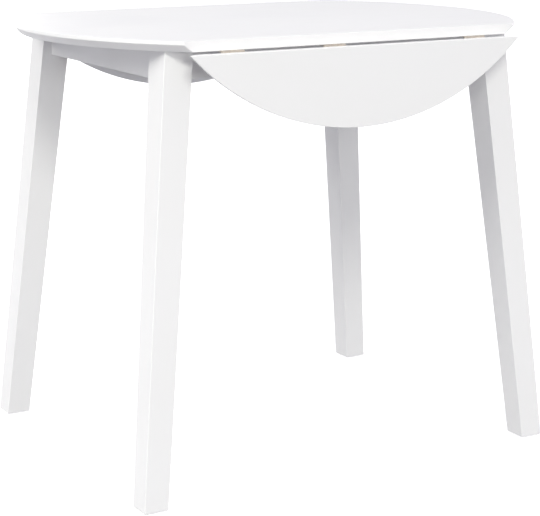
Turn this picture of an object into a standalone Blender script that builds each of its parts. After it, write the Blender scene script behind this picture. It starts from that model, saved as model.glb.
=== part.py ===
# Round drop-leaf table: a fixed centre on four splayed, tapered legs, and two hinged leaves
# that hang at rest. Metres, +Z up, origin on the floor under the middle of the top.
# +Y points from the front leaf to the rear leaf.

from math import atan2, pi, radians, sqrt

import bmesh
import bpy
from mathutils import Matrix, Vector

GAP = 0.0003                # left between pieces that touch

# top
TABLE_HEIGHT = 0.740
TOP_RADIUS = 0.4335         # of the whole round top, leaves up
TOP_THICKNESS = 0.017
CENTRE_WIDTH = 0.605        # straight edge to straight edge
RIM_BAND = 0.0055           # upright part of the rim, above the under-bevel
RIM_BEVEL = 0.0105          # how far the under-bevel runs in
RIM_STEPS = 192
LEAF_GAP = 0.001            # between centre and leaf when the leaf is up

# legs: outer corner and section, as (x, y), on the floor and at the underside of the top
FOOT_CORNER = (0.3956, 0.3139)
FOOT_SECTION = (0.0424, 0.0428)
HEAD_CORNER = (0.3239, 0.2634)
HEAD_SECTION = (0.0493, 0.0547)
GLIDE_RADIUS = 0.0095
GLIDE_HEIGHT = 0.0016
GLIDE_STEM = (0.0022, 0.012)        # radius, length

# aprons and corner blocks
APRON_DEPTH = 0.050
APRON_THICKNESS = 0.016
END_APRON_FACE = 0.312              # outer face, from the middle
LONG_APRON_FACE = 0.2244
BLOCK_THICKNESS = 0.020
BLOCK_STANDOFF = 0.0135             # from the block to the leg's inner corner
BLOCK_DEPTH = 0.042
BOLT_RADIUS = 0.003
BOLT_OFFSET = 0.008                 # along the table, from the leg's inner corner to where the bolt goes in
BOLT_IN_LEG = 0.038
BOLT_TAIL = 0.011                   # past the block's inner face
NUT_RADIUS = 0.0058
NUT_HEIGHT = 0.0050
FLANGE_RADIUS = 0.0080
FLANGE_HEIGHT = 0.0014

# butt hinges: pin axis below the underside, and places along the joint
PIN_DROP = 0.0026
PIN_RADIUS = 0.0012
PIN_CLEARANCE = 0.00008
KNUCKLE_RADIUS = 0.0023
HINGE_LENGTH = 0.040
HINGE_WIDTH = 0.0205
HINGE_PLATE = 0.0014
HINGE_PLACES = {"left": -0.227, "middle": -0.043, "right": 0.231}
HINGE_SCREWS = [(-0.0130, 0.0085), (0.0, 0.0150), (0.0130, 0.0085)]
SCREW_HOLE = 0.0019

# folding stays: pivots are measured from the hinge pin with the leaf up
STAY_X = 0.003                      # inner side of the apron bracket's ear
STAY_PLATE = 0.002
STAY_HALF_WIDTH = 0.006
PIVOT_HEIGHT = 0.010                # pivot above the face its bracket is screwed to
APRON_PIVOT_DROP = 0.022
LEAF_PIVOT_REACH = 0.045
LOWER_LINK_SHARE = 0.41             # lower link's part of the straight stay
RIVET_RADIUS = 0.002
RIVET_HEAD = (0.0038, 0.0013)       # radius, height
BRACKET_FLANGE = (0.020, 0.026)     # along the table, across the ear

UNDERSIDE = TABLE_HEIGHT - TOP_THICKNESS
BOLT_TO_LEG = BLOCK_THICKNESS + BLOCK_STANDOFF + BOLT_OFFSET / sqrt(2)
PIN_Y = -(CENTRE_WIDTH / 2 + LEAF_GAP / 2)
PIN_Z = UNDERSIDE - PIN_DROP
SIDES = {"front": 0.0, "rear": pi}
CORNERS = {"front_left": (-1, -1), "front_right": (1, -1), "rear_left": (-1, 1), "rear_right": (1, 1)}


# ---------------------------------------------------------------- helpers

def finish(name, color, roughness, metallic=0.0):
    material = bpy.data.materials.new(name)
    material.use_nodes = True
    shader = material.node_tree.nodes["Principled BSDF"]
    shader.inputs["Base Color"].default_value = (*color, 1.0)
    shader.inputs["Roughness"].default_value = roughness
    shader.inputs["Metallic"].default_value = metallic
    material.diffuse_color = (*color, 1.0)
    return material


def add_empty(name, parent=None, matrix=Matrix()):
    empty = bpy.data.objects.new(name, None)
    bpy.context.collection.objects.link(empty)
    empty.parent = parent
    empty.matrix_basis = matrix
    return empty


def add_object(name, mesh, parent=None, matrix=Matrix()):
    obj = bpy.data.objects.new(name, mesh)
    bpy.context.collection.objects.link(obj)
    obj.parent = parent
    obj.matrix_basis = matrix
    return obj


def to_mesh(bm, name, material, smooth=True):
    bmesh.ops.recalc_face_normals(bm, faces=bm.faces)
    mesh = bpy.data.meshes.new(name)
    bm.to_mesh(mesh)
    bm.free()
    mesh.materials.append(material)
    if smooth:
        mesh.shade_smooth()
        mesh.set_sharp_from_angle(angle=radians(30))
    return mesh


def box(low, high):
    bm = bmesh.new()
    bmesh.ops.create_cube(bm, size=1.0)
    for vert in bm.verts:
        vert.co = Vector(h if c > 0 else l for c, l, h in zip(vert.co, low, high))
    return bm


def tapered_block(low_face, low_z, high_face, high_z):
    """A block between two level rectangles, each given as (x low, x high, y low, y high)."""
    bm = bmesh.new()
    bmesh.ops.create_cube(bm, size=1.0)
    for vert in bm.verts:
        face = high_face if vert.co.z > 0 else low_face
        x = face[1] if vert.co.x > 0 else face[0]
        y = face[3] if vert.co.y > 0 else face[2]
        vert.co = Vector((x, y, high_z if vert.co.z > 0 else low_z))
    return bm


def prism(outline, low_z, high_z):
    """An upright prism on a level outline of (x, y) points."""
    bm = bmesh.new()
    base = bm.faces.new([bm.verts.new((x, y, low_z)) for x, y in outline])
    raised = bmesh.ops.extrude_face_region(bm, geom=[base])["geom"]
    moved = [item for item in raised if isinstance(item, bmesh.types.BMVert)]
    bmesh.ops.translate(bm, verts=moved, vec=(0, 0, high_z - low_z))
    return bm


def turned(profile, steps, axis="Z"):
    """Spin a profile of (radius, height) points, which starts and ends on the axis, about Z or X."""
    bm = bmesh.new()
    verts = [bm.verts.new((radius, 0, height)) for radius, height in profile]
    edges = [bm.edges.new(pair) for pair in zip(verts, verts[1:])]
    bmesh.ops.spin(bm, geom=verts + edges, axis=(0, 0, 1), cent=(0, 0, 0), angle=2 * pi,
                   steps=steps, use_merge=True)
    bmesh.ops.remove_doubles(bm, verts=bm.verts, dist=1e-6)
    bmesh.ops.dissolve_degenerate(bm, edges=bm.edges, dist=1e-7)
    bmesh.ops.dissolve_limit(bm, angle_limit=radians(0.2), verts=bm.verts, edges=bm.edges)
    if axis == "X":
        bmesh.ops.rotate(bm, verts=bm.verts, matrix=Matrix.Rotation(pi / 2, 3, "Y"))
    return bm


def rod(radius, low, high, steps=16, axis="X"):
    return turned([(0, low), (radius, low), (radius, high), (0, high)], steps, axis)


def move(bm, offset):
    bmesh.ops.translate(bm, verts=bm.verts, vec=offset)
    return bm


def combine(base, tool, operation):
    """Boolean two bmeshes with Blender's exact solver and return the result as a bmesh."""
    objects = []
    for bm in (base, tool):
        mesh = bpy.data.meshes.new("piece")
        bmesh.ops.recalc_face_normals(bm, faces=bm.faces)
        bm.to_mesh(mesh)
        bm.free()
        objects.append(add_object("piece", mesh))
    modifier = objects[0].modifiers.new("cut", "BOOLEAN")
    modifier.operation = operation
    modifier.solver = "EXACT"
    modifier.object = objects[1]
    bpy.context.view_layer.update()
    evaluated = objects[0].evaluated_get(bpy.context.evaluated_depsgraph_get())
    result = bmesh.new()
    result.from_mesh(evaluated.to_mesh())
    evaluated.to_mesh_clear()
    for obj in objects:
        bpy.data.meshes.remove(obj.data)
    bmesh.ops.dissolve_limit(result, angle_limit=radians(0.2), verts=result.verts, edges=result.edges)
    return result


def keep_side(bm, y, outer):
    """Cut a solid at a plane across Y and keep its outer (-Y) or inner side, closed again."""
    geom = bm.verts[:] + bm.edges[:] + bm.faces[:]
    cut = bmesh.ops.bisect_plane(bm, geom=geom, plane_co=(0, y, 0), plane_no=(0, 1, 0),
                                 clear_outer=outer, clear_inner=not outer)
    edges = [item for item in cut["geom_cut"] if isinstance(item, bmesh.types.BMEdge)]
    bmesh.ops.contextual_create(bm, geom=edges)
    return bm


# ---------------------------------------------------------------- top and leaves

def round_top():
    rim = [(0, UNDERSIDE), (TOP_RADIUS - RIM_BEVEL, UNDERSIDE), (TOP_RADIUS, TABLE_HEIGHT - RIM_BAND),
           (TOP_RADIUS, TABLE_HEIGHT), (0, TABLE_HEIGHT)]
    return turned(rim, RIM_STEPS)


def make_centre(paint):
    bm = round_top()
    keep_side(bm, CENTRE_WIDTH / 2, outer=True)
    keep_side(bm, -CENTRE_WIDTH / 2, outer=False)
    add_object("centre_top", to_mesh(bm, "centre_top", paint))


def leaf_mesh(paint):
    """The leaf lying flat, as when it is up, with the hinge pin's axis at its origin."""
    bm = keep_side(round_top(), -(CENTRE_WIDTH / 2 + LEAF_GAP), outer=True)
    return to_mesh(move(bm, (0, -PIN_Y, -PIN_Z)), "leaf", paint)


# ---------------------------------------------------------------- legs and frame

def leg_at(z):
    """Outer corner and inner corner of a leg at a height, as distances from the middle."""
    share = z / UNDERSIDE
    outer = [foot + (head - foot) * share for foot, head in zip(FOOT_CORNER, HEAD_CORNER)]
    section = [foot + (head - foot) * share for foot, head in zip(FOOT_SECTION, HEAD_SECTION)]
    return outer, [edge - width for edge, width in zip(outer, section)]


def signed_span(sign, near, far):
    return (near, far) if sign > 0 else (-far, -near)


def bolt_line(corner):
    """The leg bolt's frame: +X runs outwards into the leg, with its origin on the block's inner face."""
    z = UNDERSIDE - GAP - BLOCK_DEPTH * 0.55
    inner = leg_at(z)[1]
    back = BOLT_TO_LEG / sqrt(2)
    start = Vector((corner[0] * (inner[0] + BOLT_OFFSET - back), corner[1] * (inner[1] - back), z))
    return Matrix.Translation(start) @ Matrix.Rotation(atan2(corner[1], corner[0]), 4, "Z")


def make_leg(name, corner, paint):
    low_z = GLIDE_HEIGHT + GAP
    high_z = UNDERSIDE - GAP
    faces = []
    for z in (low_z, high_z):
        outer, inner = leg_at(z)
        across = signed_span(corner[0], inner[0], outer[0])
        along = signed_span(corner[1], inner[1], outer[1])
        faces.append((*across, *along))
    bm = tapered_block(faces[0], low_z, faces[1], high_z)

    bolt_hole = rod(BOLT_RADIUS + GAP, BOLT_TO_LEG - 0.01, BOLT_TO_LEG + BOLT_IN_LEG + GAP)
    bmesh.ops.transform(bolt_hole, matrix=bolt_line(corner), verts=bolt_hole.verts)
    bm = combine(bm, bolt_hole, "DIFFERENCE")

    stem_hole = rod(GLIDE_STEM[0] + GAP, 0, GLIDE_STEM[1] + GAP, axis="Z")
    bm = combine(bm, move(stem_hole, foot_centre(corner)), "DIFFERENCE")
    add_object(f"leg_{name}", to_mesh(bm, f"leg_{name}", paint, smooth=False))


def foot_centre(corner):
    outer, inner = leg_at(GLIDE_HEIGHT)
    return Vector((corner[0] * (outer[0] + inner[0]) / 2, corner[1] * (outer[1] + inner[1]) / 2, 0))


def glide_mesh(nylon):
    stem, length = GLIDE_STEM
    edge = GLIDE_HEIGHT / 3
    profile = [(0, 0), (GLIDE_RADIUS - edge, 0), (GLIDE_RADIUS, edge), (GLIDE_RADIUS, GLIDE_HEIGHT),
               (stem, GLIDE_HEIGHT), (stem, length), (0, length)]
    return to_mesh(turned(profile, 24), "glide", nylon)


def make_aprons(paint):
    low_z = UNDERSIDE - APRON_DEPTH
    high_z = UNDERSIDE - GAP
    low = [edge - GAP for edge in leg_at(low_z)[1]]
    high = [edge - GAP for edge in leg_at(high_z)[1]]
    for name, sign in (("left", -1), ("right", 1)):
        span = signed_span(sign, END_APRON_FACE - APRON_THICKNESS, END_APRON_FACE)
        bm = tapered_block((*span, -low[1], low[1]), low_z, (*span, -high[1], high[1]), high_z)
        add_object(f"apron_{name}", to_mesh(bm, f"apron_{name}", paint, smooth=False))
    for name, sign in (("front", -1), ("rear", 1)):
        span = signed_span(sign, LONG_APRON_FACE - APRON_THICKNESS, LONG_APRON_FACE)
        bm = tapered_block((-low[0], low[0], *span), low_z, (-high[0], high[0], *span), high_z)
        add_object(f"apron_{name}", to_mesh(bm, f"apron_{name}", paint, smooth=False))


def make_corner_block(name, corner, wood):
    """A bar set across the corner at 45 degrees, mitred against both aprons, with the leg bolt's hole."""
    high_z = UNDERSIDE - GAP
    low_z = high_z - BLOCK_DEPTH
    end_face = END_APRON_FACE - APRON_THICKNESS - GAP
    long_face = LONG_APRON_FACE - APRON_THICKNESS - GAP
    inner = leg_at(bolt_line(corner).translation.z)[1]
    outer_sum = sum(inner) - BLOCK_STANDOFF * sqrt(2)
    inner_sum = outer_sum - BLOCK_THICKNESS * sqrt(2)
    outline = [(end_face, outer_sum - end_face), (outer_sum - long_face, long_face),
               (inner_sum - long_face, long_face), (end_face, inner_sum - end_face)]
    bm = prism([(corner[0] * x, corner[1] * y) for x, y in outline], low_z, high_z)
    hole = rod(BOLT_RADIUS + GAP, -0.01, BLOCK_THICKNESS + 0.01)
    bmesh.ops.transform(hole, matrix=bolt_line(corner), verts=hole.verts)
    bm = combine(bm, hole, "DIFFERENCE")
    add_object(f"corner_block_{name}", to_mesh(bm, f"corner_block_{name}", wood, smooth=False))


def bolt_mesh(steel):
    return to_mesh(rod(BOLT_RADIUS, -BOLT_TAIL, BOLT_TO_LEG + BOLT_IN_LEG), "leg_bolt", steel)


def nut_mesh(steel):
    """A flange nut, its flange against the block's inner face."""
    seat = -GAP
    flange = rod(FLANGE_RADIUS, seat - FLANGE_HEIGHT, seat, steps=24)
    hexagon = rod(NUT_RADIUS, seat - NUT_HEIGHT - FLANGE_HEIGHT, seat - FLANGE_HEIGHT / 2, steps=6)
    bm = combine(flange, hexagon, "UNION")
    bm = combine(bm, rod(BOLT_RADIUS + GAP, -0.02, 0.01), "DIFFERENCE")
    return to_mesh(bm, "leg_nut", steel)


# ---------------------------------------------------------------- hinges

def hinge_plate_mesh(name, knuckles, brass):
    """A hinge plate on the +Y side of the pin, lying just under the board, with its share of the barrel."""
    top = PIN_DROP - GAP
    clear = KNUCKLE_RADIUS + 0.0004
    low = (-HINGE_LENGTH / 2, clear, top - HINGE_PLATE)
    bm = box(low, (HINGE_LENGTH / 2, HINGE_WIDTH, top))
    for start, end in knuckles:
        tongue = box((start, 0, top - HINGE_PLATE), (end, clear + 0.001, top))
        barrel = combine(tongue, rod(KNUCKLE_RADIUS, start, end, steps=20), "UNION")
        bm = combine(bm, barrel, "UNION")
    bore = rod(PIN_RADIUS + PIN_CLEARANCE, -HINGE_LENGTH, HINGE_LENGTH)
    bm = combine(bm, bore, "DIFFERENCE")
    for x, y in HINGE_SCREWS:
        hole = rod(SCREW_HOLE, -0.005, 0.005, steps=12, axis="Z")
        bm = combine(bm, move(hole, (x, y, 0)), "DIFFERENCE")
    return to_mesh(bm, name, brass)


def hinge_meshes(brass):
    half = HINGE_LENGTH / 2
    third = HINGE_LENGTH / 6
    outer = hinge_plate_mesh("hinge_plate_outer", [(-half, -third - GAP), (third + GAP, half)], brass)
    middle = hinge_plate_mesh("hinge_plate_middle", [(-third, third)], brass)
    pin = to_mesh(rod(PIN_RADIUS, -half - 0.0006, half + 0.0006), "hinge_pin", brass)
    return outer, middle, pin


# ---------------------------------------------------------------- folding stays

def hull(pieces):
    """The convex solid around several solids."""
    bm = bmesh.new()
    for piece in pieces:
        mesh = bpy.data.meshes.new("piece")
        piece.to_mesh(mesh)
        piece.free()
        bm.from_mesh(mesh)
        bpy.data.meshes.remove(mesh)
    bmesh.ops.delete(bm, geom=bm.edges[:], context="EDGES_FACES")
    bmesh.ops.convex_hull(bm, input=bm.verts)
    bmesh.ops.delete(bm, geom=[vert for vert in bm.verts if not vert.link_faces], context="VERTS")
    bmesh.ops.dissolve_limit(bm, angle_limit=radians(0.2), verts=bm.verts, edges=bm.edges)
    return bm


def link_mesh(name, length, x, holes, steel, rivet_boss=0):
    """A flat link along +Y from its pivot, in the plane that starts at x; a boss closes a riveted end."""
    ends = [move(rod(STAY_HALF_WIDTH, x, x + STAY_PLATE, steps=20), (0, y, 0)) for y in (0, length)]
    bm = hull(ends)
    for y in holes:
        hole = move(rod(RIVET_RADIUS + GAP, x - 0.01, x + 0.01), (0, y, 0))
        bm = combine(bm, hole, "DIFFERENCE")
    if rivet_boss:
        boss = turned(head_profile(x + STAY_PLATE - GAP), 20, "X")
        bm = combine(bm, move(boss, (0, rivet_boss, 0)), "UNION")
    return to_mesh(bm, name, steel)


def head_profile(seat):
    radius, height = RIVET_HEAD
    return [(0, seat), (radius, seat), (radius * 0.85, seat + height * 0.7), (radius * 0.4, seat + height),
            (0, seat + height)]


def rivet_mesh(name, low, high, steel, far_head=True):
    """A rivet along X: a head below low, a shank to high, and a second head past it."""
    near = [(radius, low + (low - height)) for radius, height in reversed(head_profile(low))]
    far = head_profile(high)[1:] if far_head else [(0, high)]
    shank = [(RIVET_RADIUS, low), (RIVET_RADIUS, high)]
    return to_mesh(turned([*near[:-1], *shank, *far], 20, "X"), name, steel)


def bracket_mesh(steel):
    """An angle bracket: its ear carries the pivot at the origin, its flange stands off in +Y."""
    length, width = BRACKET_FLANGE
    seat = PIVOT_HEIGHT - GAP
    flange = box((-length, seat - STAY_PLATE, -width / 2), (0, seat, width / 2))
    round_end = rod(STAY_HALF_WIDTH, -STAY_PLATE, 0, steps=20)
    reach = width * 0.4
    root = box((-STAY_PLATE, seat - STAY_PLATE, -reach), (0, seat - STAY_PLATE / 2, reach))
    bm = combine(flange, hull([round_end, root]), "UNION")
    bm = combine(bm, rod(RIVET_RADIUS + GAP, -0.01, 0.01), "DIFFERENCE")
    for z in (-width / 3, width / 3):
        hole = rod(SCREW_HOLE, -0.02, 0.02, steps=12, axis="Z")
        bmesh.ops.rotate(hole, verts=hole.verts, matrix=Matrix.Rotation(pi / 2, 3, "X"))
        bm = combine(bm, move(hole, (-length * 0.55, 0, z)), "DIFFERENCE")
    return to_mesh(bm, "stay_bracket", steel)


def stay_geometry():
    """Pivots, elbow and link lengths of the front stay in the Y-Z plane, folded, from the straight stay."""
    apron_pivot = Vector((-LONG_APRON_FACE - PIVOT_HEIGHT, PIN_Z - APRON_PIVOT_DROP))
    pivot_drop = PIVOT_HEIGHT - PIN_DROP
    raised = Vector((PIN_Y - LEAF_PIVOT_REACH, PIN_Z - pivot_drop))
    hanging = Vector((PIN_Y + pivot_drop, PIN_Z - LEAF_PIVOT_REACH))
    lower = (raised - apron_pivot).length * LOWER_LINK_SHARE
    upper = (raised - apron_pivot).length - lower
    line = hanging - apron_pivot
    along = (lower ** 2 - upper ** 2 + line.length_squared) / (2 * line.length)
    across = sqrt(lower ** 2 - along ** 2)
    unit = line.normalized()
    elbow = apron_pivot + unit * along + Vector((-unit.y, unit.x)) * across
    return apron_pivot, hanging, elbow, lower, upper


def angle_of(vector):
    return atan2(vector.y, vector.x)


def add_stay(side, frame, leaf_frame, parts):
    apron_pivot, hanging, elbow, lower, upper = stay_geometry()
    at_apron = Matrix.Translation((STAY_X, *apron_pivot))
    at_leaf = Matrix.Translation((STAY_X, -LEAF_PIVOT_REACH, PIN_DROP - PIVOT_HEIGHT))
    bracket_turn = Matrix.Rotation(pi / 2, 4, "X") @ Matrix.Rotation(pi, 4, "Y")
    ear_shift = Matrix.Translation((2 * STAY_PLATE + 3 * GAP, 0, 0))

    add_object(f"stay_bracket_apron_{side}", parts["bracket"], frame, at_apron)
    add_object(f"stay_rivet_apron_{side}", parts["apron_rivet"], frame, at_apron)
    add_object(f"stay_bracket_leaf_{side}", parts["bracket"], leaf_frame, at_leaf @ ear_shift @ bracket_turn)
    add_object(f"stay_rivet_leaf_{side}", parts["leaf_rivet"], leaf_frame, at_leaf)

    turn = Matrix.Rotation(angle_of(elbow - apron_pivot), 4, "X")
    lower_frame = add_empty(f"stay_axis_apron_{side}", frame, at_apron @ turn)
    add_object(f"stay_link_lower_{side}", parts["lower"], lower_frame)
    at_elbow = Matrix.Translation((0, lower, 0))
    add_object(f"stay_rivet_elbow_{side}", parts["elbow_rivet"], lower_frame, at_elbow)

    turn = Matrix.Rotation(angle_of(elbow - hanging) - pi / 2, 4, "X")
    add_object(f"stay_link_upper_{side}", parts["upper"], leaf_frame, at_leaf @ turn)


def stay_parts(steel):
    lower, upper = stay_geometry()[3:]
    lower_x = GAP
    upper_x = STAY_PLATE + 2 * GAP
    lower_end = lower_x + STAY_PLATE
    return {
        "bracket": bracket_mesh(steel),
        "lower": link_mesh("stay_link_lower", lower, lower_x, [0, lower], steel),
        "upper": link_mesh("stay_link_upper", upper, upper_x, [0], steel, rivet_boss=upper),
        "apron_rivet": rivet_mesh("stay_rivet_apron", -STAY_PLATE - GAP, STAY_PLATE + 2 * GAP, steel),
        "leaf_rivet": rivet_mesh("stay_rivet_leaf", upper_x - GAP, 3 * STAY_PLATE + 4 * GAP, steel),
        "elbow_rivet": rivet_mesh("stay_rivet_elbow", lower_x - GAP, lower_end, steel, far_head=False),
    }


# ---------------------------------------------------------------- assembly

def main():
    for obj in list(bpy.data.objects):
        bpy.data.objects.remove(obj, do_unlink=True)

    paint = finish("white_paint", (0.86, 0.86, 0.87), 0.42)
    block_wood = finish("corner_block_wood", (0.62, 0.45, 0.28), 0.65)
    brass = finish("brass", (0.72, 0.62, 0.42), 0.32, 1.0)
    steel = finish("zinc_steel", (0.60, 0.60, 0.61), 0.35, 1.0)
    nylon = finish("nylon", (0.80, 0.80, 0.78), 0.5)

    make_centre(paint)
    make_aprons(paint)
    bolt = bolt_mesh(steel)
    nut = nut_mesh(steel)
    glide = glide_mesh(nylon)
    for name, corner in CORNERS.items():
        make_leg(name, corner, paint)
        make_corner_block(name, corner, block_wood)
        add_object(f"leg_bolt_{name}", bolt, matrix=bolt_line(corner))
        add_object(f"leg_nut_{name}", nut, matrix=bolt_line(corner))
        add_object(f"foot_glide_{name}", glide, matrix=Matrix.Translation(foot_centre(corner)))

    leaf = leaf_mesh(paint)
    outer_plate, middle_plate, pin = hinge_meshes(brass)
    parts = stay_parts(steel)
    half_turn = Matrix.Rotation(pi, 4, "Z")
    for side, turn in SIDES.items():
        frame = add_empty(f"{side}_side", matrix=Matrix.Rotation(turn, 4, "Z"))
        hang = Matrix.Translation((0, PIN_Y, PIN_Z)) @ Matrix.Rotation(pi / 2, 4, "X")
        leaf_frame = add_empty(f"{side}_leaf_axis", frame, hang)
        add_object(f"leaf_{side}", leaf, leaf_frame)
        for place, x in HINGE_PLACES.items():
            at_hinge = Matrix.Translation((x, PIN_Y, PIN_Z))
            add_object(f"hinge_plate_top_{side}_{place}", outer_plate, frame, at_hinge)
            add_object(f"hinge_pin_{side}_{place}", pin, frame, at_hinge)
            on_leaf = Matrix.Translation((x, 0, 0)) @ half_turn
            add_object(f"hinge_plate_leaf_{side}_{place}", middle_plate, leaf_frame, on_leaf)
        add_stay(side, frame, leaf_frame, parts)


main()
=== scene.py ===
from math import atan2, cos, pi, radians, sin, tau

import bmesh
import bpy
from mathutils import Matrix, Vector


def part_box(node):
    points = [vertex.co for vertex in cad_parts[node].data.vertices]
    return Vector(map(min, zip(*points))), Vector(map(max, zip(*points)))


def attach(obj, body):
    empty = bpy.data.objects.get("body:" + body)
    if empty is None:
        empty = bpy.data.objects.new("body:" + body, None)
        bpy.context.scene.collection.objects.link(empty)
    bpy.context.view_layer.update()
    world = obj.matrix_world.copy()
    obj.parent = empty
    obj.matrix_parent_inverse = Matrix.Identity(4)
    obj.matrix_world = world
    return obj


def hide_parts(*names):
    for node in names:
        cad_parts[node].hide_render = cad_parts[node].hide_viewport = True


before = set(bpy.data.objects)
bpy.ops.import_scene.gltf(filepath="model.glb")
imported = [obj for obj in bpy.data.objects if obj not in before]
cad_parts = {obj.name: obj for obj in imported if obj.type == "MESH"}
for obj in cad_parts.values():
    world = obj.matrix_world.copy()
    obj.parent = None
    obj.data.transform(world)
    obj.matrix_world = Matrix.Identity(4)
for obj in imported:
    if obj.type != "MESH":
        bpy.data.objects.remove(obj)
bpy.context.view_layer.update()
print("frame loaded:", len(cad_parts), "nodes")

corners = {"front_left": (-1, -1), "front_right": (1, -1), "rear_left": (-1, 1), "rear_right": (1, 1)}
sides = {"front": Matrix(), "rear": Matrix.Rotation(pi, 4, "Z")}   # rear is the front turned round
hingePlaces = ("left", "middle", "right")
hang = Matrix.Rotation(pi / 2, 4, "X")   # from a leaf's flat frame to its hanging one
tiny = 1e-6   # two points this near are one


# mesh helpers

def moved(bm, matrix):
    bmesh.ops.transform(bm, matrix=matrix, verts=bm.verts)
    return bm


def appended(bm, other, matrix=Matrix()):
    mesh = bpy.data.meshes.new("copy")
    other.to_mesh(mesh)
    mesh.transform(matrix)
    bm.from_mesh(mesh)
    bpy.data.meshes.remove(mesh)
    return bm


def boxShape(low, high):
    bm = bmesh.new()
    bmesh.ops.create_cube(bm, size=1.0)
    size = Vector(high) - Vector(low)
    middle = (Vector(high) + Vector(low)) / 2
    return moved(bm, Matrix.Translation(middle) @ Matrix.Diagonal((*size, 1)))


def turnedShape(profile, steps, axis="X"):
    # profile: (radius, height) points that start and end on the axis
    bm = bmesh.new()
    verts = [bm.verts.new((radius, 0, height)) for radius, height in profile]
    edges = [bm.edges.new(pair) for pair in zip(verts, verts[1:])]
    bmesh.ops.spin(bm, geom=verts + edges, axis=(0, 0, 1), cent=(0, 0, 0), angle=tau, steps=steps,
                   use_merge=True)
    bmesh.ops.remove_doubles(bm, verts=bm.verts, dist=tiny)
    bmesh.ops.dissolve_degenerate(bm, edges=bm.edges, dist=1e-7)
    bmesh.ops.recalc_face_normals(bm, faces=bm.faces)
    if axis == "X":
        moved(bm, Matrix.Rotation(pi / 2, 4, "Y"))
    return bm


def rod(radius, low, high, steps=32, axis="X"):
    return turnedShape([(0, low), (radius, low), (radius, high), (0, high)], steps, axis)


def combined(base, tool, operation):
    # union, difference or intersection of two closed shapes
    pair = []
    for bm in (base, tool):
        mesh = bpy.data.meshes.new("solid")
        bm.to_mesh(mesh)
        bm.free()
        pair.append(bpy.data.objects.new("solid", mesh))
        bpy.context.collection.objects.link(pair[-1])
    modifier = pair[0].modifiers.new("cut", "BOOLEAN")
    modifier.operation = operation
    modifier.solver = "EXACT"
    modifier.object = pair[1]
    bpy.context.view_layer.update()
    evaluated = pair[0].evaluated_get(bpy.context.evaluated_depsgraph_get())
    result = bmesh.new()
    result.from_mesh(evaluated.to_mesh())
    evaluated.to_mesh_clear()
    for obj in pair:
        bpy.data.meshes.remove(obj.data)
    bmesh.ops.dissolve_limit(result, angle_limit=radians(0.2), verts=result.verts, edges=result.edges)
    return result


def hullOf(shapes):
    bm = bmesh.new()
    for shape in shapes:
        appended(bm, shape)
        shape.free()
    bmesh.ops.delete(bm, geom=bm.edges[:], context="EDGES_FACES")
    bmesh.ops.convex_hull(bm, input=bm.verts)
    bmesh.ops.delete(bm, geom=[vert for vert in bm.verts if not vert.link_faces], context="VERTS")
    bmesh.ops.dissolve_limit(bm, angle_limit=radians(0.2), verts=bm.verts, edges=bm.edges)
    return bm


def nodeCopy(node):
    # a CAD node's mesh is loose triangles, so its copy is welded and its flat faces joined
    bm = bmesh.new()
    bm.from_mesh(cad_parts[node].data)
    bmesh.ops.remove_doubles(bm, verts=bm.verts, dist=1e-5)
    bmesh.ops.dissolve_limit(bm, angle_limit=radians(0.3), verts=bm.verts, edges=bm.edges)
    return bm


def roundEdges(bm, edges, width, segments, clamp=False):
    return bmesh.ops.bevel(bm, geom=edges, offset=width, offset_type="OFFSET", segments=segments,
                           profile=0.5, affect="EDGES", material=-1, clamp_overlap=clamp)["faces"]


def softened(bm, width, segments=3, sharpest=25):
    # rounds the arrises, and marks the rounded faces for the finish
    arris = bm.faces.layers.float.get("arris") or bm.faces.layers.float.new("arris")
    edges = [edge for edge in bm.edges if edge.is_manifold and edge.calc_face_angle(0) > radians(sharpest)]
    for face in roundEdges(bm, edges, width, segments, clamp=True):
        face[arris] = 1.0
    return bm


def crossCut(bm, reach, width, low, high, turn=0.0):
    # a cross recess round Z, from low to high
    for quarter in (0, pi / 2):
        slot = boxShape((-reach, -width / 2, low), (reach, width / 2, high))
        bm = combined(bm, moved(slot, Matrix.Rotation(quarter + turn, 4, "Z")), "DIFFERENCE")
    return bm


def piece(name, bm, finish, body, nodes=()):
    mesh = bpy.data.meshes.new(name)
    bm.to_mesh(mesh)
    bm.free()
    mesh.materials.clear()
    mesh.materials.append(finish)
    mesh.shade_smooth()
    mesh.set_sharp_from_angle(angle=radians(35))
    obj = bpy.data.objects.new(name, mesh)
    bpy.context.collection.objects.link(obj)
    normals = obj.modifiers.new("flat faces stay flat", "WEIGHTED_NORMAL")
    normals.keep_sharp = True
    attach(obj, body)
    if nodes:
        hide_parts(*nodes)


def centreOf(node):
    low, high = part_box(node)
    return (Vector(low) + Vector(high)) / 2


# finishes

def newFinish(name, color, roughness, metallic=0.0):
    material = bpy.data.materials.new(name)
    material.use_nodes = True
    shader = material.node_tree.nodes["Principled BSDF"]
    shader.inputs["Base Color"].default_value = (*color, 1)
    shader.inputs["Roughness"].default_value = roughness
    shader.inputs["Metallic"].default_value = metallic
    return material, material.node_tree, shader


def addNode(tree, kind, inputs, **settings):
    node = tree.nodes.new(kind)
    for key, value in settings.items():
        setattr(node, key, value)
    for key, value in inputs.items():
        if isinstance(value, bpy.types.NodeSocket):
            tree.links.new(value, node.inputs[key])
        else:
            node.inputs[key].default_value = value
    return node


def noise(tree, vector, scale, detail, roughness):
    inputs = {"Vector": vector, "Scale": scale, "Detail": detail, "Roughness": roughness}
    return addNode(tree, "ShaderNodeTexNoise", inputs).outputs["Fac"]


def stretched(tree, scale):
    place = addNode(tree, "ShaderNodeTexCoord", {}).outputs["Object"]
    return addNode(tree, "ShaderNodeMapping", {"Vector": place, "Scale": scale}).outputs["Vector"]


def remap(tree, value, low, high, toLow, toHigh):
    inputs = {"Value": value, "From Min": low, "From Max": high, "To Min": toLow, "To Max": toHigh}
    return addNode(tree, "ShaderNodeMapRange", inputs).outputs["Result"]


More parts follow.
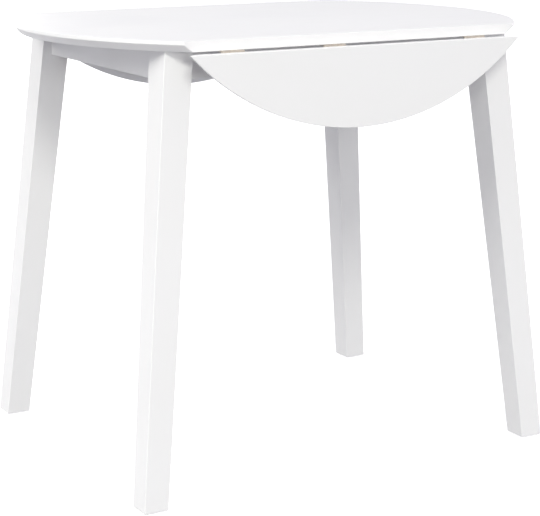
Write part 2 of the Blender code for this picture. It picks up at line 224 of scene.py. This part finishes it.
def mixColor(tree, factor, first, second):
    node = addNode(tree, "ShaderNodeMix", {}, data_type="RGBA")
    for index, value in ((0, factor), (6, first), (7, second)):   # its colour sockets are 6, 7 and 2
        if isinstance(value, bpy.types.NodeSocket):
            tree.links.new(value, node.inputs[index])
        else:
            node.inputs[index].default_value = (*value, 1) if isinstance(value, tuple) else value
    return node.outputs[2]


def bump(tree, height, distance, strength, normal=None):
    inputs = {"Height": height, "Distance": distance, "Strength": strength}
    if normal is not None:
        inputs["Normal"] = normal
    return addNode(tree, "ShaderNodeBump", inputs).outputs["Normal"]


# a finish's noises are (scale, detail, roughness) and its bumps (height, strength)
paint = {
    "color": (0.84, 0.84, 0.845), "thinColor": (0.80, 0.795, 0.785), "roughness": (0.36, 0.48),
    "grainStretch": 16, "grain": (55, 5, 0.62), "pores": (495, 2, 0.5), "peel": (1100, 1, 0.4),
    "cloud": (7, 3, 0.55), "rub": (90, 4, 0.7),
    "rubbedShare": 0.55, "thinShare": 0.22, "poreShare": 0.10,
    "grainBump": (0.0004, 0.22), "poreBump": (0.0001, 0.20), "peelBump": (0.00008, 0.35),
}


def paintedWood(name, grain):
    # satin lacquer: grain just telegraphs through along its run, over a fine orange peel
    material, tree, shader = newFinish(name, paint["color"], paint["roughness"][0])
    along = tuple(1 / paint["grainStretch"] if axis == grain else 1.0 for axis in "XYZ")
    grainPlace = stretched(tree, along)
    plainPlace = stretched(tree, (1, 1, 1))
    grainNoise = noise(tree, grainPlace, *paint["grain"])
    finePores = noise(tree, grainPlace, *paint["pores"])
    peel = noise(tree, plainPlace, *paint["peel"])
    cloud = noise(tree, plainPlace, *paint["cloud"])
    edge = addNode(tree, "ShaderNodeAttribute", {}, attribute_name="arris").outputs["Fac"]
    rubbed = remap(tree, noise(tree, plainPlace, *paint["rub"]), 0.50, 0.72, 0.0, 1.0)
    wear = addNode(tree, "ShaderNodeMath", {0: edge, 1: rubbed}, operation="MULTIPLY").outputs[0]
    thin = remap(tree, cloud, 0.35, 0.75, 0.0, paint["thinShare"])
    thinner = addNode(tree, "ShaderNodeMath", {0: wear, 1: paint["rubbedShare"], 2: thin},
                      operation="MULTIPLY_ADD", use_clamp=True).outputs[0]
    color = mixColor(tree, thinner, paint["color"], paint["thinColor"])
    pores = remap(tree, finePores, 0.62, 0.80, 0.0, paint["poreShare"])
    color = mixColor(tree, pores, color, paint["thinColor"])
    tree.links.new(color, shader.inputs["Base Color"])
    rough = addNode(tree, "ShaderNodeMath", {0: cloud, 1: grainNoise}, operation="ADD").outputs[0]
    tree.links.new(remap(tree, rough, 0.7, 1.3, *paint["roughness"]), shader.inputs["Roughness"])
    normal = bump(tree, grainNoise, *paint["grainBump"])
    normal = bump(tree, finePores, *paint["poreBump"], normal)
    normal = bump(tree, peel, *paint["peelBump"], normal)
    tree.links.new(normal, shader.inputs["Normal"])
    return material


pine = {
    "early": (0.74, 0.56, 0.36), "late": (0.52, 0.33, 0.17), "roughness": (0.52, 0.74),
    "ringStretch": 0.12, "rings": {"Scale": 25, "Distortion": 5.0, "Detail": 3.0, "Detail Scale": 1.4},
    "fibreStretch": 0.04, "fibre": (900, 2, 0.6), "fibreShare": 0.35, "fibreBump": (0.0002, 0.5),
    "warp": (22, 3, 0.55),
}


def bareWood(name):
    material, tree, shader = newFinish(name, pine["early"], pine["roughness"][0])
    place = stretched(tree, (1, 1, pine["ringStretch"]))
    warp = noise(tree, place, *pine["warp"])
    rings = addNode(tree, "ShaderNodeTexWave", {"Vector": place, **pine["rings"]},
                    bands_direction="DIAGONAL")
    figure = addNode(tree, "ShaderNodeMath", {0: rings.outputs["Fac"], 1: warp}, operation="MULTIPLY")
    figure = figure.outputs[0]
    fibre = noise(tree, stretched(tree, (1, 1, pine["fibreStretch"])), *pine["fibre"])
    color = mixColor(tree, remap(tree, figure, 0.05, 0.65, 0, 1), pine["early"], pine["late"])
    color = mixColor(tree, remap(tree, fibre, 0.5, 0.8, 0, pine["fibreShare"]), color, pine["late"])
    tree.links.new(color, shader.inputs["Base Color"])
    tree.links.new(remap(tree, fibre, 0.3, 0.7, *pine["roughness"]), shader.inputs["Roughness"])
    tree.links.new(bump(tree, fibre, *pine["fibreBump"]), shader.inputs["Normal"])
    return material


metal = {"marks": (600, 3, 0.6), "cloud": (160, 4, 0.6), "tarnishShare": 0.7, "smoother": 0.09,
         "rougher": 0.14, "markBump": (0.00005, 0.35)}


def platedMetal(name, color, tarnish, roughness, brush):
    # thin plate over pressed steel: faint rolling marks, clouding and handling marks
    material, tree, shader = newFinish(name, color, roughness, 1.0)
    marks = noise(tree, stretched(tree, brush), *metal["marks"])
    cloud = noise(tree, stretched(tree, (1, 1, 1)), *metal["cloud"])
    tone = mixColor(tree, remap(tree, cloud, 0.42, 0.75, 0, metal["tarnishShare"]), color, tarnish)
    tree.links.new(tone, shader.inputs["Base Color"])
    spread = addNode(tree, "ShaderNodeMath", {0: marks, 1: cloud}, operation="ADD").outputs[0]
    rough = remap(tree, spread, 0.7, 1.3, roughness - metal["smoother"], roughness + metal["rougher"])
    tree.links.new(rough, shader.inputs["Roughness"])
    tree.links.new(bump(tree, marks, *metal["markBump"]), shader.inputs["Normal"])
    return material


moulded = {"color": (0.80, 0.80, 0.77), "dirtyColor": (0.60, 0.58, 0.54), "roughness": (0.42, 0.60),
           "grime": (220, 4, 0.65), "grimeShare": 0.5, "pebble": (2500, 1, 0.5),
           "pebbleBump": (0.00004, 0.4)}


def mouldedNylon(name):
    material, tree, shader = newFinish(name, moulded["color"], moulded["roughness"][0])
    place = stretched(tree, (1, 1, 1))
    grime = noise(tree, place, *moulded["grime"])
    dirty = remap(tree, grime, 0.5, 0.8, 0, moulded["grimeShare"])
    color = mixColor(tree, dirty, moulded["color"], moulded["dirtyColor"])
    tree.links.new(color, shader.inputs["Base Color"])
    tree.links.new(remap(tree, grime, 0.3, 0.7, *moulded["roughness"]), shader.inputs["Roughness"])
    pebble = noise(tree, place, *moulded["pebble"])
    tree.links.new(bump(tree, pebble, *moulded["pebbleBump"]), shader.inputs["Normal"])
    return material


plates = {   # colour, tarnish, roughness, brushing
    "pale brass plate": ((0.83, 0.76, 0.66), (0.68, 0.58, 0.45), 0.34, (0.05, 1, 1)),
    "bright zinc plate": ((0.66, 0.67, 0.69), (0.47, 0.49, 0.52), 0.34, (1, 0.08, 0.08)),
}

boardPaint = paintedWood("white lacquer, grain along the table", "X")
endPaint = paintedWood("white lacquer, grain across the table", "Y")
legPaint = paintedWood("white lacquer, grain up the leg", "Z")
blockWood = bareWood("bare pine")
brass, zinc = (platedMetal(name, *look) for name, look in plates.items())
nylon = mouldedNylon("off-white nylon")
print("finishes made")


# screws, shared by hinges, stays and blocks

screw = {"headRadius": 0.0033, "headDepth": 0.0016, "rimHeight": 0.00012, "shank": 0.0016,
         "length": 0.010, "tip": 0.002, "slotWidth": 0.0009, "slotReach": 0.0019, "slotDepth": 0.0011,
         "firstTurn": 37, "nextTurn": 61}
panHead = {"radius": 0.0042, "height": 0.0026, "shank": 0.0018, "length": 0.008, "slotWidth": 0.001,
           "slotReach": 0.0021, "slotTop": -0.0011, "turn": 0.4}


def screwShape():
    # countersunk cross-head screw; its head's flat is at the origin and faces -Z
    rim = screw["headRadius"]
    end = screw["length"]
    bm = turnedShape([(0, 0), (rim * 0.94, 0), (rim, screw["rimHeight"]),
                      (screw["shank"], screw["headDepth"]), (screw["shank"], end),
                      (0, end + screw["tip"])], 28, "Z")
    return crossCut(bm, screw["slotReach"], screw["slotWidth"], -0.001, screw["slotDepth"])


def panScrew():
    # low round head that seats at the origin and hangs below it
    radius, height = panHead["radius"], panHead["height"]
    bm = turnedShape([(0, -height), (radius * 0.55, -0.0024), (radius * 0.9, -0.0015),
                      (radius, -0.0005), (radius, 0), (panHead["shank"], 0),
                      (panHead["shank"], panHead["length"]), (0, panHead["length"])], 28, "Z")
    return crossCut(bm, panHead["slotReach"], panHead["slotWidth"], -0.004, panHead["slotTop"],
                    panHead["turn"])


screwTemplate = screwShape()


def screwGroup(matrices):
    bm = bmesh.new()
    for index, matrix in enumerate(matrices):
        turn = radians(screw["firstTurn"] + screw["nextTurn"] * index)
        appended(bm, screwTemplate, matrix @ Matrix.Rotation(turn, 4, "Z"))
    return bm


# boards, legs and aprons are the CAD shapes with their arrises rounded

timber = {"boardEdge": 0.0008, "legEdge": 0.0011, "apronEdge": 0.0011, "blockEdge": 0.0007}

pocket = {"radius": 0.0047, "tilt": 16, "headBelowTop": 0.022, "fromEnd": 0.11, "nearFace": 0.001,
          "drilled": 0.06}


def boards():
    piece("centreBoard", softened(nodeCopy("centre_top"), timber["boardEdge"]), boardPaint, "frame",
          ["centre_top"])
    for side in sides:
        piece(f"leafBoard.{side}", softened(nodeCopy(f"leaf_{side}"), timber["boardEdge"]), boardPaint,
              f"{side}_leaf", [f"leaf_{side}"])


def legs():
    for name in corners:
        piece(f"leg.{name}", softened(nodeCopy(f"leg_{name}"), timber["legEdge"]), legPaint, "frame",
              [f"leg_{name}"])


def pocketFrames(name, inward):
    # two pocket screws up into the top, from the apron's inner face
    low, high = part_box(f"apron_{name}")
    lengthAxis = 1 if inward.x else 0
    frames = []
    for end in (-1, 1):
        spot = Vector((0, 0, high[2] - pocket["headBelowTop"]))
        spot[lengthAxis] = end * (high[lengthAxis] - pocket["fromEnd"])
        across = 1 - lengthAxis
        spot[across] = (low[across] + high[across]) / 2 + inward[across] * pocket["nearFace"]
        tilt = Matrix.Rotation(radians(pocket["tilt"]), 4, Vector((0, 0, 1)).cross(-inward))
        frames.append(Matrix.Translation(spot) @ tilt)
    return frames


def aprons():
    inwards = {"left": Vector((1, 0, 0)), "right": Vector((-1, 0, 0)), "front": Vector((0, 1, 0)),
               "rear": Vector((0, -1, 0))}
    for name, inward in inwards.items():
        bm = nodeCopy(f"apron_{name}")
        frames = pocketFrames(name, inward)
        for matrix in frames:
            drill = rod(pocket["radius"], -pocket["drilled"], 0, 28, "Z")
            bm = combined(bm, moved(drill, matrix), "DIFFERENCE")
        finish = endPaint if inward.x else boardPaint
        piece(f"apron.{name}", softened(bm, timber["apronEdge"], sharpest=50), finish, "frame",
              [f"apron_{name}"])
        heads = bmesh.new()
        head = panScrew()
        for matrix in frames:
            appended(heads, head, matrix)
        head.free()
        piece(f"pocketScrews.{name}", heads, zinc, "frame")


boards()
legs()
aprons()
print("boards, legs and aprons made")


# corner blocks with their screws, and the leg bolts

bolt = {"core": 0.00255, "crest": 0.0030, "pitch": 0.0010, "stepsPerTurn": 20, "flat": 0.00016,
        "plainEnds": 0.001, "firstTurn": 0.0006, "endChamfer": 0.0004, "tail": 0.011,
        "spare": 0.030}   # left off the end, which is out of sight in the leg
blockScrews = [(-0.024, 0.25), (0.024, 0.25), (-0.024, 0.78), (0.024, 0.78)]   # along the face, up it
nut = {"across": 0.0100, "height": 0.0050, "chamfer": 0.0009, "flange": 0.0080, "flangeHeight": 0.0014,
       "bore": 0.0031, "standoff": 0.0003}


def boltFrame(name):
    # +X runs outwards along the bolt, from the block's inner face
    sx, sy = corners[name]
    low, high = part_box(f"leg_bolt_{name}")
    innerEnd = Vector((high[0] if sx < 0 else low[0], high[1] if sy < 0 else low[1],
                       (low[2] + high[2]) / 2))
    outwards = Vector((sx, sy, 0)).normalized()
    radius = (high[2] - low[2]) / 2   # the bolt's box is this much wider than its axis at each end
    start = innerEnd + outwards * (radius + bolt["tail"])
    return Matrix.Translation(start) @ Matrix.Rotation(atan2(sy, sx), 4, "Z")


def threadedRod(low, high):
    # a helical ridge swept on a core, joined to it
    core, crest, pitch = bolt["core"], bolt["crest"], bolt["pitch"]
    turns = int((high - low - bolt["plainEnds"]) / pitch)
    half, flat, root = pitch * 0.46, bolt["flat"] / 2, core * 0.93
    bm = bmesh.new()
    ridge = [(root, -half), (crest, -flat), (crest, flat), (root, half)]
    verts = [bm.verts.new((radius, 0, low + bolt["firstTurn"] + height)) for radius, height in ridge]
    start = bm.faces.new(verts)
    steps = turns * bolt["stepsPerTurn"]
    bmesh.ops.spin(bm, geom=[start], axis=(0, 0, 1), cent=(0, 0, 0), angle=tau * turns, steps=steps,
                   dvec=(0, 0, pitch / bolt["stepsPerTurn"]), use_merge=False)
    bmesh.ops.recalc_face_normals(bm, faces=bm.faces)
    whole = turnedShape([(0, low), (core * 0.8, low), (core, low + bolt["endChamfer"]), (core, high),
                         (0, high)], 20, "Z")
    appended(whole, bm)
    bm.free()
    return moved(whole, Matrix.Rotation(pi / 2, 4, "Y"))


def nutShape():
    # flange nut: a chamfered hexagon on a round flange, against the block's face at x = 0
    seat = -nut["standoff"]
    outer = nut["across"] / 2 / 0.866   # the hexagon's corners
    top = seat - nut["flangeHeight"] - nut["height"]
    hexagon = rod(outer, top, seat - nut["flangeHeight"] * 0.5, 6)
    chamfer = turnedShape([(0, top), (nut["across"] / 2 * 0.93, top),
                           (outer * 1.02, top + nut["chamfer"]), (outer * 1.02, seat), (0, seat)], 40)
    bm = combined(hexagon, chamfer, "INTERSECT")
    wide, tall = nut["flange"], nut["flangeHeight"]
    flange = turnedShape([(0, seat - tall), (wide * 0.82, seat - tall), (wide * 0.98, seat - tall * 0.6),
                          (wide, seat - 0.0003), (wide * 0.98, seat), (0, seat)], 40)
    bm = combined(bm, flange, "UNION")
    return combined(bm, rod(nut["bore"], -0.02, 0.01, 24), "DIFFERENCE")


def cornerJoints():
    intoBlock = Matrix.Rotation(pi / 2, 4, "Y")
    rim = screw["headRadius"] * 1.03
    sinkProfile = [(0, -0.001), (rim, -0.001), (rim, 0.0002), (screw["shank"], screw["headDepth"] * 1.05),
                   (screw["shank"], screw["length"]), (0, screw["length"])]
    for name in corners:
        place = boltFrame(name)
        low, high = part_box(f"leg_bolt_{name}")
        length = (high[0] - low[0]) * 2 ** 0.5 - (high[2] - low[2])
        thread = moved(threadedRod(-bolt["tail"], length - bolt["tail"] - bolt["spare"]), place)
        piece(f"legBolt.{name}", thread, zinc, "frame", [f"leg_bolt_{name}"])
        piece(f"legNut.{name}", moved(nutShape(), place), zinc, "frame", [f"leg_nut_{name}"])
        blockLow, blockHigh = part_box(f"corner_block_{name}")
        heads = []
        for reach, share in blockScrews:
            lift = blockLow[2] + (blockHigh[2] - blockLow[2]) * share - place.translation.z
            heads.append(place @ Matrix.Translation((0, reach + blockSkew(name, place), lift)) @ intoBlock)
        block = softened(nodeCopy(f"corner_block_{name}"), timber["blockEdge"], 2)
        for head in heads:
            block = combined(block, moved(turnedShape(sinkProfile, 28, "Z"), head), "DIFFERENCE")
        piece(f"cornerBlock.{name}", block, blockWood, "frame", [f"corner_block_{name}"])
        piece(f"blockScrews.{name}", screwGroup(heads), zinc, "frame")


def blockSkew(name, place):
    # how far the block's middle lies along its face from the bolt
    along = place.to_3x3() @ Vector((0, 1, 0))
    return (centreOf(f"corner_block_{name}") - place.translation).dot(along)


cornerJoints()
print("corner blocks and bolts made")


# foot glides

glide = {"radius": 0.0095, "height": 0.0016, "stem": 0.0022, "length": 0.012}


def footGlides():
    for name in corners:
        middle = centreOf(f"foot_glide_{name}")
        radius, height = glide["radius"], glide["height"]
        profile = [(0, 0), (radius * 0.80, 0), (radius * 0.93, height * 0.16),
                   (radius * 0.99, height * 0.5), (radius, height * 0.8), (radius * 0.985, height),
                   (glide["stem"], height), (glide["stem"], glide["length"]), (0, glide["length"])]
        bm = moved(turnedShape(profile, 48, "Z"), Matrix.Translation((middle.x, middle.y, 0)))
        piece(f"footGlide.{name}", bm, nylon, "frame", [f"foot_glide_{name}"])


footGlides()


# hinges

hinge = {"length": 0.040, "width": 0.0205, "plate": 0.0014, "drop": 0.0023, "knuckle": 0.0023,
         "knuckleGap": 0.0004, "arris": 0.0002, "bore": 0.00128, "pin": 0.0012, "pinDome": 0.0006,
         "cornerRadius": 0.0022, "split": 0.0003, "screwLift": 0.00005,
         "screws": [(-0.0130, 0.0085), (0.0, 0.0150), (0.0130, 0.0085)]}


def hingePlate(knuckles):
    # the plate lies on +Y of the pin, its flat face up against the board
    top = hinge["drop"]
    bottom = top - hinge["plate"]
    half = hinge["length"] / 2
    clear = hinge["knuckle"] + hinge["knuckleGap"]
    bm = boxShape((-half, clear, bottom), (half, hinge["width"], top))
    far = [edge for edge in bm.edges
           if all(vert.co.y > hinge["width"] - tiny for vert in edge.verts)
           and abs(edge.verts[0].co.x - edge.verts[1].co.x) < tiny]
    roundEdges(bm, far, hinge["cornerRadius"], 6)
    for start, end in knuckles:
        tongue = boxShape((start, 0, bottom), (end, clear + 0.001, top))
        wide, arris = hinge["knuckle"], hinge["arris"]
        rounded = turnedShape([(0, start), (wide * 0.93, start), (wide, start + arris),
                               (wide, end - arris), (wide * 0.93, end), (0, end)], 40)
        bm = combined(bm, combined(tongue, rounded, "UNION"), "UNION")
    bm = combined(bm, rod(hinge["bore"], -hinge["length"], hinge["length"]), "DIFFERENCE")
    for x, y in hinge["screws"]:
        sink = turnedShape([(0, bottom - 0.001), (screw["headRadius"] * 1.62, bottom - 0.001),
                            (screw["headRadius"] * 1.06, bottom), (screw["shank"] * 1.12, top),
                            (screw["shank"] * 1.12, top + 0.001), (0, top + 0.001)], 32, "Z")
        bm = combined(bm, moved(sink, Matrix.Translation((x, y, 0))), "DIFFERENCE")
    return bm


def hingePin():
    half = hinge["length"] / 2
    radius, tip = hinge["pin"], half + hinge["pinDome"]
    dome = [(0, -tip), (radius * 0.6, -half - 0.0005), (radius, -half), (radius, half),
            (radius * 0.6, half + 0.0005), (0, tip)]
    return turnedShape(dome, 28)


def hinges():
    half, third, split = hinge["length"] / 2, hinge["length"] / 6, hinge["split"]
    outer = hingePlate([(-half, -third - split), (third + split, half)])
    middle = hingePlate([(-third, third)])
    pin = hingePin()
    halfTurn = Matrix.Rotation(pi, 4, "Z")
    bottom = hinge["drop"] - hinge["plate"]
    holes = [Matrix.Translation((x, y, bottom + hinge["screwLift"])) for x, y in hinge["screws"]]
    for side, turn in sides.items():
        for place in hingePlaces:
            onTop = Matrix.Translation(centreOf(f"hinge_pin_{side}_{place}")) @ turn
            onLeaf = onTop @ hang @ halfTurn
            key = f"{side}_{place}"
            for name, shape, matrix, body, node in (
                    ("hingePlateTop", outer, onTop, "frame", "hinge_plate_top"),
                    ("hingePlateLeaf", middle, onLeaf, f"{side}_leaf", "hinge_plate_leaf"),
                    ("hingePin", pin, onTop, "frame", "hinge_pin")):
                bm = appended(bmesh.new(), shape, matrix)
                piece(f"{name}.{key}", bm, brass, body, [f"{node}_{key}"])
            piece(f"hingeScrewsTop.{key}", screwGroup([onTop @ hole for hole in holes]), brass, "frame")
            piece(f"hingeScrewsLeaf.{key}", screwGroup([onLeaf @ hole for hole in holes]), brass,
                  f"{side}_leaf")
    for shape in (outer, middle, pin):
        shape.free()


hinges()
print("hinges made")


# folding stays

stay = {"plate": 0.002, "halfWidth": 0.006, "gap": 0.0003, "rivet": 0.0020, "hole": 0.0023,
        "head": 0.0038, "headHeight": 0.0013, "edge": 0.00035, "standoff": 0.010,
        "flange": (0.020, 0.026), "cornerRadius": 0.003, "screwHole": 0.0020, "screwsAt": 0.55}


def stayLink(length, x, holes, boss=0.0):
    ends = [moved(rod(stay["halfWidth"], x, x + stay["plate"], 40), Matrix.Translation((0, y, 0)))
            for y in (0, length)]
    bm = softened(hullOf(ends), stay["edge"], 2, 60)
    for y in holes:
        hole = moved(rod(stay["hole"], x - 0.01, x + 0.01), Matrix.Translation((0, y, 0)))
        bm = combined(bm, hole, "DIFFERENCE")
    if boss:
        head = turnedShape(domedHead(x + stay["plate"] - 0.0003), 40)
        bm = combined(bm, moved(head, Matrix.Translation((0, boss, 0))), "UNION")
    return bm


def domedHead(seat):
    radius, height = stay["head"], stay["headHeight"]
    return [(0, seat), (radius, seat), (radius * 0.97, seat + height * 0.30),
            (radius * 0.84, seat + height * 0.65), (radius * 0.60, seat + height * 0.90),
            (radius * 0.30, seat + height * 0.985), (0, seat + height)]


def stayRivet(low, high, farHead=True):
    near = [(radius, 2 * low - height) for radius, height in reversed(domedHead(low))]
    far = domedHead(high)[1:] if farHead else [(0, high)]
    shank = [(stay["rivet"], low), (stay["rivet"], high)]
    return turnedShape([*near[:-1], *shank, *far], 40)


def stayBracket():
    # the ear carries the pivot at the origin, the flange stands off in +Y
    length, width = stay["flange"]
    seat = stay["standoff"] - stay["gap"]
    plate = stay["plate"]
    flange = boxShape((-length, seat - plate, -width / 2), (0, seat, width / 2))
    far = [edge for edge in flange.edges
           if all(vert.co.x < -length + tiny for vert in edge.verts)
           and abs(edge.verts[0].co.z - edge.verts[1].co.z) < tiny]
    roundEdges(flange, far, stay["cornerRadius"], 6)
    roundEnd = rod(stay["halfWidth"], -plate, 0, 40)
    root = boxShape((-plate, seat - plate, -width * 0.4), (0, seat - plate / 2, width * 0.4))
    bm = combined(flange, hullOf([roundEnd, root]), "UNION")
    bm = softened(bm, stay["edge"], 2, 60)
    bm = combined(bm, rod(stay["hole"], -0.01, 0.01), "DIFFERENCE")
    for z in (-width / 3, width / 3):
        drill = moved(rod(stay["screwHole"], -0.02, 0.02, 24, "Z"), Matrix.Rotation(pi / 2, 4, "X"))
        spot = Matrix.Translation((-length * stay["screwsAt"], 0, z))
        bm = combined(bm, moved(drill, spot), "DIFFERENCE")
    return bm


def bracketScrews(matrix):
    # round heads on the flange's near face
    length, width = stay["flange"]
    seat = stay["standoff"] - stay["gap"] - stay["plate"]
    bm = bmesh.new()
    head = panScrew()
    for z in (-width / 3, width / 3):
        spot = Matrix.Translation((-length * stay["screwsAt"], seat, z))
        appended(bm, head, matrix @ spot @ Matrix.Rotation(-pi / 2, 4, "X"))
    head.free()
    return bm


def stays():
    plate, gap = stay["plate"], stay["gap"]
    bracketTurn = hang @ Matrix.Rotation(pi, 4, "Y")
    earShift = Matrix.Translation((2 * plate + 3 * gap, 0, 0))
    for side, turn in sides.items():
        sign = 1 if side == "front" else -1
        low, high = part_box(f"stay_bracket_apron_{side}")
        ear = high[0] if side == "front" else low[0]

        def pivotAt(node):
            spot = centreOf(node)
            return Matrix.Translation((ear, spot.y, spot.z)) @ turn

        atApron = pivotAt(f"stay_rivet_apron_{side}")
        atLeaf = pivotAt(f"stay_rivet_leaf_{side}") @ hang
        elbow = centreOf(f"stay_rivet_elbow_{side}")
        lower = Vector((sign * (elbow.y - atApron.translation.y), elbow.z - atApron.translation.z))
        upper = Vector((sign * (elbow.y - atLeaf.translation.y), elbow.z - atLeaf.translation.z))
        lowerFrame = atApron @ Matrix.Rotation(atan2(lower.y, lower.x), 4, "X")
        upperFrame = atLeaf @ Matrix.Rotation(atan2(upper.y, upper.x) - pi / 2, 4, "X")
        elbowFrame = lowerFrame @ Matrix.Translation((0, lower.length, 0))
        leafBracket = atLeaf @ earShift @ bracketTurn
        parts = (
            ("stayBracketApron", stayBracket(), atApron, "frame", "stay_bracket_apron"),
            ("stayBracketLeaf", stayBracket(), leafBracket, f"{side}_leaf", "stay_bracket_leaf"),
            ("stayRivetApron", stayRivet(-plate - gap, plate + 2 * gap), atApron, "frame",
             "stay_rivet_apron"),
            ("stayRivetLeaf", stayRivet(plate + gap, 3 * plate + 4 * gap), atLeaf, f"{side}_leaf",
             "stay_rivet_leaf"),
            ("stayLinkLower", stayLink(lower.length, gap, [0, lower.length]), lowerFrame,
             f"{side}_stay_lower", "stay_link_lower"),
            ("stayRivetElbow", stayRivet(0, gap + plate, False), elbowFrame, f"{side}_stay_lower",
             "stay_rivet_elbow"),
            ("stayLinkUpper", stayLink(upper.length, plate + 2 * gap, [0], upper.length), upperFrame,
             f"{side}_stay_upper", "stay_link_upper"),
        )
        for name, bm, matrix, body, node in parts:
            piece(f"{name}.{side}", moved(bm, matrix), zinc, body, [f"{node}_{side}"])
        piece(f"stayScrewsApron.{side}", bracketScrews(atApron), zinc, "frame")
        piece(f"stayScrewsLeaf.{side}", bracketScrews(leafBracket), zinc, f"{side}_leaf")


stays()
screwTemplate.free()
print("stays made")


# floor, light and camera

studio = {
    "floorSize": 60, "floorColor": (0.94, 0.94, 0.95), "floorGlow": 0.50,
    "skyColor": (0.92, 0.91, 1.0), "skyAbove": 0.60, "skyBelow": 0.31, "horizon": 0.15, "backdrop": 1.2,
    # name: (compass angle, height angle, size, power); 0 is +X and 90 is +Y
    "lights": {"key": (-109, 33, 2.2, 298), "leftFill": (180, 38, 6.0, 445),
               "frontFill": (-104, 11, 2.4, 190),
               "rightFill": (0, 10, 6.0, 270), "rearFill": (90, 10, 6.0, 270)},
    "lightColor": (1.0, 1.0, 0.93), "lightDistance": 9.0, "target": (0, 0, 0.45),
}
camera = {"position": (-1.4693, -2.5764, 0.9946), "turn": -29.91, "tilt": 76.99, "lens": 112.43,
          "sensor": 36, "reach": 100}


def makeFloor():
    # a plain sweep lit to white from above, and clear from below so the underside can be looked at
    bm = bmesh.new()
    bmesh.ops.create_grid(bm, x_segments=1, y_segments=1, size=studio["floorSize"] / 2)
    mesh = bpy.data.meshes.new("floor")
    bm.to_mesh(mesh)
    bm.free()
    floor = bpy.data.objects.new("floor", mesh)
    bpy.context.collection.objects.link(floor)
    material, tree, shader = newFinish("pale floor", studio["floorColor"], 0.9)
    shader.inputs["Emission Color"].default_value = (1, 1, 1, 1)
    shader.inputs["Emission Strength"].default_value = studio["floorGlow"]
    under = addNode(tree, "ShaderNodeNewGeometry", {}).outputs["Backfacing"]
    clear = addNode(tree, "ShaderNodeBsdfTransparent", {}).outputs["BSDF"]
    mix = addNode(tree, "ShaderNodeMixShader", {0: under, 1: shader.outputs["BSDF"], 2: clear})
    tree.links.new(mix.outputs["Shader"], tree.nodes["Material Output"].inputs["Surface"])
    mesh.materials.append(material)
    floor.visible_diffuse = False   # the sky below stands for its bounce
    floor.visible_shadow = False


def makeWorld():
    world = bpy.data.worlds.new("studio")
    bpy.context.scene.world = world
    world.use_nodes = True
    tree = world.node_tree
    background = tree.nodes["Background"]
    place = addNode(tree, "ShaderNodeTexCoord", {}).outputs["Generated"]
    height = addNode(tree, "ShaderNodeSeparateXYZ", {"Vector": place}).outputs["Z"]
    level = remap(tree, height, -studio["horizon"], studio["horizon"], studio["skyBelow"],
                  studio["skyAbove"])
    seen = addNode(tree, "ShaderNodeLightPath", {}).outputs["Is Camera Ray"]
    background.inputs["Color"].default_value = (*studio["skyColor"], 1)
    tree.links.new(remap(tree, seen, 0, 1, level, studio["backdrop"]), background.inputs["Strength"])


def makeLight(name, around, height, size, power):
    data = bpy.data.lights.new(name, "AREA")
    data.shape = "DISK"
    data.size = size
    data.energy = power
    data.color = studio["lightColor"]
    light = bpy.data.objects.new(name, data)
    bpy.context.collection.objects.link(light)
    target = Vector(studio["target"])
    across = studio["lightDistance"] * cos(radians(height))
    light.location = target + Vector((across * cos(radians(around)), across * sin(radians(around)),
                                      studio["lightDistance"] * sin(radians(height))))
    light.rotation_euler = (target - light.location).to_track_quat("-Z", "Y").to_euler()


def makeCamera():
    data = bpy.data.cameras.new("camera")
    data.lens = camera["lens"]
    data.sensor_width = camera["sensor"]
    data.clip_end = camera["reach"]
    obj = bpy.data.objects.new("camera", data)
    obj.location = camera["position"]
    obj.rotation_euler = (radians(camera["tilt"]), 0, radians(camera["turn"]))
    bpy.context.collection.objects.link(obj)
    bpy.context.scene.camera = obj


makeFloor()
makeWorld()
for name, setting in studio["lights"].items():
    makeLight(name, *setting)
makeCamera()
bpy.context.scene.view_settings.view_transform = "Standard"
print("studio made")
